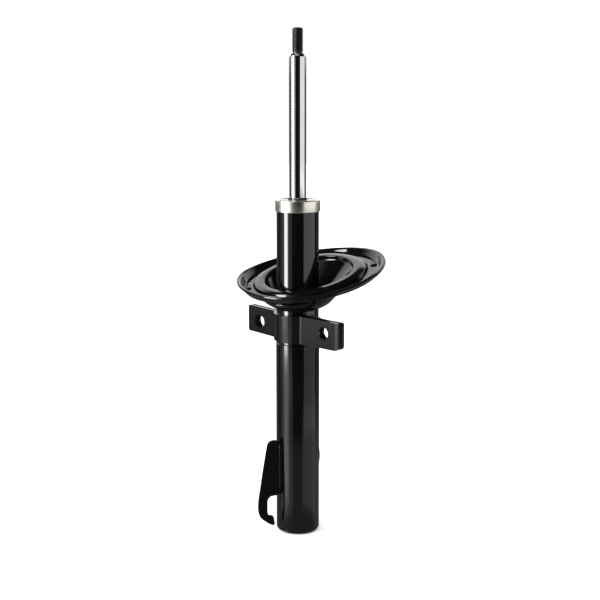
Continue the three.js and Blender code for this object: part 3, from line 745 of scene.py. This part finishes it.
def bracket_line():
    """Middle line of the folded strip, from the hose ear's front end round to its back end."""
    bend = 4
    step = bend / STRIP_R
    outward = Vector((-math.cos(HOSE_EAR_TURN), math.sin(HOSE_EAR_TURN)))
    hose_length = 55
    start = Vector((-34, -10.8)) + outward * hose_length
    end = Vector((-33, -4.4)) + outward * hose_length
    front_y, back_y = -19.25, -10.75
    middle_y = (front_y + back_y) / 2
    link_end, nose = 82, 8.2
    hose_front = math.radians(203.6)
    link_front = 2 * math.pi - math.asin(-front_y / STRIP_R)
    link_back = -math.asin(-back_y / STRIP_R)
    hose_back = math.radians(189.8)

    corner1, corner2 = on_circle(hose_front), on_circle(link_front)
    corner3, corner4 = on_circle(link_back), on_circle(hose_back)
    points = [tuple(start), tuple(corner1 + outward * bend)]
    points += bezier_points(points[-1], corner1, on_circle(hose_front + step))
    points += arc_points(0, 0, STRIP_R, hose_front + step, link_front - step, 36)[1:]
    points += bezier_points(points[-1], corner2, (corner2.x + bend, front_y))
    points.append((link_end, front_y))
    for i in range(1, 24):
        angle = math.pi * (i / 24 - 0.5)
        points.append((link_end + nose * math.cos(angle), middle_y + (back_y - middle_y) * math.sin(angle)))
    points.append((link_end, back_y))
    points.append((corner3.x + bend, back_y))
    points += bezier_points(points[-1], corner3, on_circle(link_back + step))
    points += arc_points(0, 0, STRIP_R, link_back + step, hose_back - step, 64)[1:]
    points += bezier_points(points[-1], corner4, tuple(corner4 + outward * bend))
    points.append(tuple(end))
    return [Vector(p) for p in points]


def strip_outline(points, thickness):
    """Both sides of a strip along a line, as one closed outline."""
    left, right = [], []
    last = len(points) - 1
    for i, point in enumerate(points):
        before, after = points[max(i - 1, 0)], points[min(i + 1, last)]
        along = (after - before).normalized()
        into = (point - before).normalized() if i else along
        spread = thickness / 2 / max(along.dot(into), 0.5)
        across = Vector((-along.y, along.x)) * spread
        left.append(tuple(point + across))
        right.append(tuple(point - across))
    return left + right[::-1]


def ear_block(bottom, top):
    """A block whose outline, seen from the front, rounds the ears' corners."""
    left, right = HOSE_END_X, LINK_END_X
    small, large, upper = 3, 11, 7
    outline = []
    outline += arc_points(right - large, bottom + large, large, -math.pi / 2, 0, 8)
    outline += arc_points(right - upper, top - upper, upper, 0, math.pi / 2, 8)
    outline += arc_points(left + small, top - small, small, math.pi / 2, math.pi, 6)
    outline += arc_points(left + small, bottom + small, small, math.pi, 1.5 * math.pi, 6)
    block = extrude_outline("ear_block", outline, -45, 45)
    block.data.transform(Matrix.Rotation(math.radians(90), 4, "X"))
    return block


def hole_cutter(x, y, z, radius, turn, reach=60, stretch=0.0):
    """A cutter along Y, drawn out sideways into a slot when it has a stretch."""
    outline = arc_points(stretch / 2, 0, radius, -math.pi / 2, math.pi / 2, 32)
    outline += arc_points(-stretch / 2, 0, radius, math.pi / 2, 1.5 * math.pi, 32)
    if not stretch:
        outline = outline[1:33] + outline[34:]
    cutter = extrude_outline("hole", outline, -reach / 2, reach / 2)
    cutter.data.transform(Matrix.Rotation(math.radians(90), 4, "X"))
    cutter.data.transform(Matrix.Rotation(turn, 4, "Z"))
    cutter.data.transform(Matrix.Translation(Vector((x, y, z)) * MM))
    return cutter


def build_link_bracket():
    bottom, top = low("link_bracket"), high("link_bracket")
    strip = extrude_outline("folded_bracket", strip_outline(bracket_line(), STRIP_T), bottom, top)
    boolean(strip, ear_block(bottom, top), "INTERSECT")
    rear = STRIP_R + STRIP_T
    corners = [(-rear, REAR_START_Y), (rear, REAR_START_Y), (rear, rear), (-rear, rear)]
    boolean(strip, extrude_outline("rear_cut", corners, REAR_TOP_Z, top + 10), "DIFFERENCE")
    between, reach = -3, 24
    link_x, link_z = LINK_HOLE
    hose_x, hose_z = HOSE_HOLE
    slot = hole_cutter(hose_x, between - reach / 2, hose_z, HOLE_R, -HOSE_EAR_TURN, reach, HOSE_SLOT_STRETCH)
    boolean(strip, hole_cutter(link_x, -15, link_z, HOLE_R, 0), "DIFFERENCE")
    boolean(strip, hole_cutter(hose_x, between, hose_z, HOLE_R, -HOSE_EAR_TURN, reach), "DIFFERENCE")
    boolean(strip, slot, "DIFFERENCE")
    soften(strip, 0.75)
    place(strip, SATIN, "tube", "satin_black", "link_bracket")
    ring = TUBE_R + 0.5
    steps = 90
    welds = [
        ("bracket_weld_back_upper", REAR_TOP_Z - 0.2, 40, 130),
        ("bracket_weld_back_lower", bottom + 0.2, 40, 130),
        ("bracket_weld_front_lower", bottom + 0.2, 236, 262),
    ]
    for name, z, start, end in welds:
        angles = [math.radians(start + (end - start) * i / steps) for i in range(steps + 1)]
        path = [(ring * math.cos(a), ring * math.sin(a), z) for a in angles]
        place(bead_along(name, path, 1.5, False), SATIN, "tube", "satin_black")


# ---------------------------------------------------------------- locating plate

def build_locating_plate():
    inner = LOWER_TUBE_R + 0.5
    outline = [(inner, 53), (inner, 121)]
    outline += bezier_points((inner, 121), (inner, 129), (43.5, 129), (45.6, 122.5), steps=16)
    outline += bezier_points((45.6, 122.5), (49.2, 108), (55, 74), (59.2, 49), steps=16)
    outline += bezier_points((59.2, 49), (61.4, 32), (58.5, 24.5), (50.8, 18.5), steps=16)
    outline += bezier_points((50.8, 18.5), (46, 14.6), (41, 11.4), (38, 11), steps=10)
    outline += bezier_points((38, 11), (36.2, 11), (36.4, 14), (36.8, 16), steps=8)
    outline += bezier_points((36.8, 16), (37.8, 22), (38.2, 25), (41.4, 25), steps=8)
    outline += arc_points(41.4, 31, 6, -math.pi / 2, 0, 10)[1:]
    outline += arc_points(40.4, 44.7, 7, 0, math.pi / 2, 10)
    outline += [(33, 51.7)]
    plate = extrude_outline("hook_plate", outline, -PLATE_T / 2, PLATE_T / 2)
    plate.data.transform(Matrix.Rotation(math.radians(90), 4, "X"))
    dimple_depth = 1.2
    for side in (-1, 1):
        dimple = hole_cutter(35.6, side * PLATE_T / 2, 89.6, 2.0, 0, 2 * dimple_depth)
        boolean(plate, dimple, "DIFFERENCE")
    soften(plate, 0.7)
    turn = Matrix.Rotation(PLATE_AZIMUTH, 4, "Z")
    plate.data.transform(turn)
    # The hook plate gets the darker, barely reflecting coat: painted shade on its face
    place(plate, PLATE_PAINTED_SHADE, "tube", "gloss_black", "locating_plate")

    steps = 59
    for name, side in (("hook_weld_left", -1), ("hook_weld_right", 1)):
        path = []
        for i in range(steps + 1):
            z = 56 + 66 * i / steps
            path.append(turn @ Vector((LOWER_TUBE_R + 0.8, side * (PLATE_T / 2 + 0.5), z)))
        place(bead_along(name, path, 1.7, False), SATIN, "tube", "satin_black")


# ---------------------------------------------------------------- studio

def build_camera():
    toward = Vector((math.sin(VIEW_AZIMUTH), -math.cos(VIEW_AZIMUTH), 0))
    right = Vector((math.cos(VIEW_AZIMUTH), math.sin(VIEW_AZIMUTH), 0))
    data = bpy.data.cameras.new("camera")
    data.lens = LENS_MM
    data.sensor_width = 36
    data.shift_y = SHIFT_UP
    data.clip_start = 0.05
    camera = bpy.data.objects.new("camera", data)
    camera.location = toward * VIEW_DISTANCE + right * VIEW_ASIDE + Vector((0, 0, VIEW_HEIGHT))
    camera.rotation_euler = (math.pi / 2 - VIEW_PITCH, 0, VIEW_AZIMUTH)
    bpy.context.scene.collection.objects.link(camera)
    bpy.context.scene.camera = camera


def build_floor():
    floor = make_object("floor", [(-6000, -6000, 0), (6000, -6000, 0), (6000, 6000, 0), (-6000, 6000, 0)],
                        [[0, 1, 2, 3]])
    material, tree, shader, add = new_material("floor_paper")
    coords = add("ShaderNodeTexCoord").outputs["Object"]
    tone = ramp_node(tree, add, noise_node(tree, add, coords, 3), [(0.3, 0.88), (0.7, 0.9)])
    tree.links.new(tone, shader.inputs["Base Color"])
    shader.inputs["Roughness"].default_value = 0.9
    shader.inputs["Specular IOR Level"].default_value = 0.0
    paint(floor, material)
    floor.visible_glossy = False


# Panels of the studio: centre azimuth from the camera's side (positive to its right), half width and soft
# edge; centre elevation, half height and soft edge, all in degrees; radiance
PANELS = [
    (-66, 10, 1.2, 14, 24.4, 0.8, 17.0),
    (-69, 20, 3, 0, 12, 2, 0.9),
    (-98, 9, 4, 0, 12, 2, 0.3),
    (-42, 11.5, 2, 0, 14, 2, 0.42),
    (69, 36, 3, 3, 11.5, 1.5, 1.2),
    (69, 36, 3, -12, 5, 1.5, 0.5),
    (-64, 14, 6, -16.5, 7.5, 3, 1.3),
    (-64, 36, 6, -19, 7, 2, 0.35),
    (70, 44, 5, -20, 5, 1, 0.35),
    (0, 180, 1, -55, 37, 1, 0.17),
    (180, 66, 14, 19, 15.5, 2.5, 1.3),
    (180, 62, 10, -8, 11, 2, 0.12),
    (-30, 60, 20, 66, 9, 5, 0.5),
]
STUDIO_GLOOM = 0.01


def build_world():
    """Seen directly the studio is plain white; in light and reflections it is panels in the dark."""
    world = bpy.data.worlds.new("studio")
    bpy.context.scene.world = world
    world.use_nodes = True
    tree = world.node_tree
    tree.nodes.clear()

    def math_node(operation, a, b=None):
        node = tree.nodes.new("ShaderNodeMath")
        node.operation = operation
        for socket, value in ((node.inputs[0], a), (node.inputs[1], b)):
            if value is None:
                continue
            if isinstance(value, (int, float)):
                socket.default_value = value
            else:
                tree.links.new(value, socket)
        return node.outputs[0]

    def along(direction):
        node = tree.nodes.new("ShaderNodeVectorMath")
        node.operation = "DOT_PRODUCT"
        tree.links.new(coords, node.inputs[0])
        node.inputs[1].default_value = direction
        return node.outputs["Value"]

    def window(distance, half, soft):
        """1 nearer than half, fading to 0 over the soft edge."""
        node = tree.nodes.new("ShaderNodeMapRange")
        node.interpolation_type = "SMOOTHSTEP"
        tree.links.new(distance, node.inputs["Value"])
        node.inputs["From Min"].default_value = half - soft
        node.inputs["From Max"].default_value = half + soft
        node.inputs["To Min"].default_value = 1.0
        node.inputs["To Max"].default_value = 0.0
        return node.outputs["Result"]

    coords = tree.nodes.new("ShaderNodeTexCoord").outputs["Generated"]
    aside = along((math.cos(VIEW_AZIMUTH), math.sin(VIEW_AZIMUTH), 0))
    ahead = along((math.sin(VIEW_AZIMUTH), -math.cos(VIEW_AZIMUTH), 0))
    turn = math_node("DEGREES", math_node("ARCTAN2", aside, ahead))
    rise = math_node("DEGREES", math_node("ARCSINE", along((0, 0, 1))))
    light = STUDIO_GLOOM
    for azimuth, half_width, side_soft, elevation, half_height, rise_soft, radiance in PANELS:
        offset = math_node("WRAP", math_node("SUBTRACT", turn, azimuth), 180)
        offset.node.inputs[2].default_value = -180
        across = window(math_node("ABSOLUTE", offset), half_width, side_soft)
        up = window(math_node("ABSOLUTE", math_node("SUBTRACT", rise, elevation)), half_height, rise_soft)
        light = math_node("ADD", math_node("MULTIPLY", math_node("MULTIPLY", across, up), radiance), light)
    lit = tree.nodes.new("ShaderNodeBackground")
    tree.links.new(light, lit.inputs["Color"])
    seen = tree.nodes.new("ShaderNodeBackground")
    seen.inputs["Color"].default_value = (1, 1, 1, 1)
    seen.inputs["Strength"].default_value = 1.0
    path = tree.nodes.new("ShaderNodeLightPath")
    choose = tree.nodes.new("ShaderNodeMixShader")
    tree.links.new(path.outputs["Is Camera Ray"], choose.inputs["Fac"])
    tree.links.new(lit.outputs[0], choose.inputs[1])
    tree.links.new(seen.outputs[0], choose.inputs[2])
    output = tree.nodes.new("ShaderNodeOutputWorld")
    tree.links.new(choose.outputs[0], output.inputs["Surface"])


def build_lamps():
    data = bpy.data.lights.new("soft_daylight", "SUN")
    data.energy = 4.8
    data.angle = math.radians(130)
    lamp = bpy.data.objects.new("soft_daylight", data)
    lamp.rotation_euler = (math.radians(6), math.radians(-6), 0)
    lamp.visible_glossy = False
    bpy.context.scene.collection.objects.link(lamp)


bpy.context.scene.view_settings.view_transform = "Standard"
build_camera()
build_floor()
build_world()
build_lamps()
finish_frame_nodes()
build_damper_tube()
build_cap()
build_rod()
build_spring_seat()
build_link_bracket()
build_locating_plate()

bpy.context.view_layer.update()
